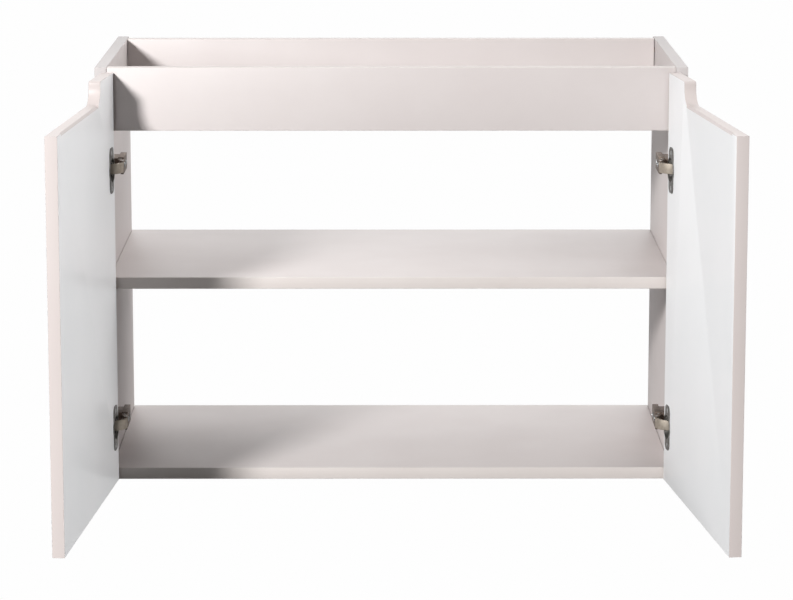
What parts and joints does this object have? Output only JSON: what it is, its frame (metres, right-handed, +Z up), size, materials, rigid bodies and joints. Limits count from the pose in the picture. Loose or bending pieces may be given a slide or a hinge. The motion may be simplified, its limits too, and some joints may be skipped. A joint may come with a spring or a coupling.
{
  "type": "sink base cabinet",
  "caption": "Wall-hung sink base cabinet with an open top and back, a fixed middle shelf and two doors with scooped grips on concealed hinges.",
  "frame": {"origin": "middle of the carcass's underside, half way between the side panels and half way from the carcass front to its back edges", "axes": "+X to the right of someone facing the doors, +Y towards the wall, +Z up"},
  "size_m": [0.8634, 0.7797, 0.57],
  "materials": {
    "carcass_board": "matt warm off-white melamine faced chipboard",
    "door_board": "matt warm off-white lacquered board",
    "nickel_plated_steel": "satin nickel plating on pressed steel",
    "bright_steel": "bright drawn steel",
    "zinc_plated_steel": "zinc plating",
    "zinc_alloy": "as-cast zinc alloy",
    "beech": "fluted beech"
  },
  "bodies": {
    "cabinet": {"left_side_panel": "carcass_board", "right_side_panel": "carcass_board", "bottom_panel": "carcass_board", "middle_shelf": "carcass_board", "front_rail": "carcass_board", "back_rail": "carcass_board", "dowels": "beech", "cam_bolts": "zinc_plated_steel", "cam_locks": "zinc_alloy", "plate_screws": "zinc_plated_steel", "left_upper_hinge_arm": "nickel_plated_steel", "left_upper_arm_rivets": "bright_steel", "left_upper_mounting_plate": "nickel_plated_steel", "left_upper_adjusting_screws": "zinc_plated_steel", "left_lower_hinge_arm": "nickel_plated_steel", "left_lower_arm_rivets": "bright_steel", "left_lower_mounting_plate": "nickel_plated_steel", "left_lower_adjusting_screws": "zinc_plated_steel", "right_upper_hinge_arm": "nickel_plated_steel", "right_upper_arm_rivets": "bright_steel", "right_upper_mounting_plate": "nickel_plated_steel", "right_upper_adjusting_screws": "zinc_plated_steel", "right_lower_hinge_arm": "nickel_plated_steel", "right_lower_arm_rivets": "bright_steel", "right_lower_mounting_plate": "nickel_plated_steel", "right_lower_adjusting_screws": "zinc_plated_steel"},
    "left_door": {"left_door": "door_board", "left_cup_screws": "zinc_plated_steel", "left_upper_hinge_cup": "nickel_plated_steel", "left_upper_inner_link_pin": "bright_steel", "left_lower_hinge_cup": "nickel_plated_steel", "left_lower_inner_link_pin": "bright_steel"},
    "left_upper_inner_link": {"left_upper_inner_link": "nickel_plated_steel"},
    "left_upper_outer_link": {"left_upper_outer_link": "nickel_plated_steel", "left_upper_outer_link_pin": "bright_steel"},
    "left_lower_inner_link": {"left_lower_inner_link": "nickel_plated_steel"},
    "left_lower_outer_link": {"left_lower_outer_link": "nickel_plated_steel", "left_lower_outer_link_pin": "bright_steel"},
    "right_door": {"right_door": "door_board", "right_cup_screws": "zinc_plated_steel", "right_upper_hinge_cup": "nickel_plated_steel", "right_upper_inner_link_pin": "bright_steel", "right_lower_hinge_cup": "nickel_plated_steel", "right_lower_inner_link_pin": "bright_steel"},
    "right_upper_inner_link": {"right_upper_inner_link": "nickel_plated_steel"},
    "right_upper_outer_link": {"right_upper_outer_link": "nickel_plated_steel", "right_upper_outer_link_pin": "bright_steel"},
    "right_lower_inner_link": {"right_lower_inner_link": "nickel_plated_steel"},
    "right_lower_outer_link": {"right_lower_outer_link": "nickel_plated_steel", "right_lower_outer_link_pin": "bright_steel"}
  },
  "joints": [
    {"name": "left_upper_inner_link_swing", "type": "hinge", "parent": "cabinet", "child": "left_upper_inner_link", "pos_m": [-0.368, -0.174, 0.434], "axis": [0, 0, 1], "range_deg": [-22.31, 1.18]},
    {"name": "left_upper_outer_link_swing", "type": "hinge", "parent": "cabinet", "child": "left_upper_outer_link", "pos_m": [-0.36466, -0.1886, 0.434], "axis": [0, 0, 1], "range_deg": [-10.22, 0.55]},
    {"name": "left_lower_inner_link_swing", "type": "hinge", "parent": "cabinet", "child": "left_lower_inner_link", "pos_m": [-0.368, -0.174, 0.079], "axis": [0, 0, 1], "range_deg": [-22.31, 1.18]},
    {"name": "left_lower_outer_link_swing", "type": "hinge", "parent": "cabinet", "child": "left_lower_outer_link", "pos_m": [-0.36466, -0.1886, 0.079], "axis": [0, 0, 1], "range_deg": [-10.22, 0.55]},
    {"name": "left_door_swing", "type": "hinge", "parent": "left_upper_inner_link", "child": "left_door", "pos_m": [-0.37943, -0.20279, 0.434], "axis": [0, 0, 1], "range_deg": [-6.17, 117.3]},
    {"name": "right_upper_inner_link_swing", "type": "hinge", "parent": "cabinet", "child": "right_upper_inner_link", "pos_m": [0.368, -0.174, 0.434], "axis": [0, 0, 1], "range_deg": [-0.71, 22.78]},
    {"name": "right_upper_outer_link_swing", "type": "hinge", "parent": "cabinet", "child": "right_upper_outer_link", "pos_m": [0.36466, -0.1886, 0.434], "axis": [0, 0, 1], "range_deg": [-0.33, 10.44]},
    {"name": "right_lower_inner_link_swing", "type": "hinge", "parent": "cabinet", "child": "right_lower_inner_link", "pos_m": [0.368, -0.174, 0.079], "axis": [0, 0, 1], "range_deg": [-0.71, 22.78]},
    {"name": "right_lower_outer_link_swing", "type": "hinge", "parent": "cabinet", "child": "right_lower_outer_link", "pos_m": [0.36466, -0.1886, 0.079], "axis": [0, 0, 1], "range_deg": [-0.33, 10.44]},
    {"name": "right_door_swing", "type": "hinge", "parent": "right_upper_inner_link", "child": "right_door", "pos_m": [0.37919, -0.20288, 0.434], "axis": [0, 0, 1], "range_deg": [-119.77, 3.7]}
  ],
  "couplings": [
    {"joint": "left_upper_inner_link_swing", "follows": "left_door_swing", "ratio": -0.19011},
    {"joint": "left_upper_outer_link_swing", "follows": "left_door_swing", "ratio": -0.087053},
    {"joint": "left_lower_inner_link_swing", "follows": "left_door_swing", "ratio": -0.19011},
    {"joint": "left_lower_outer_link_swing", "follows": "left_door_swing", "ratio": -0.087053},
    {"joint": "right_upper_inner_link_swing", "follows": "right_door_swing", "ratio": -0.19011},
    {"joint": "right_upper_outer_link_swing", "follows": "right_door_swing", "ratio": -0.087053},
    {"joint": "right_lower_inner_link_swing", "follows": "right_door_swing", "ratio": -0.19011},
    {"joint": "right_lower_outer_link_swing", "follows": "right_door_swing", "ratio": -0.087053}
  ]
}
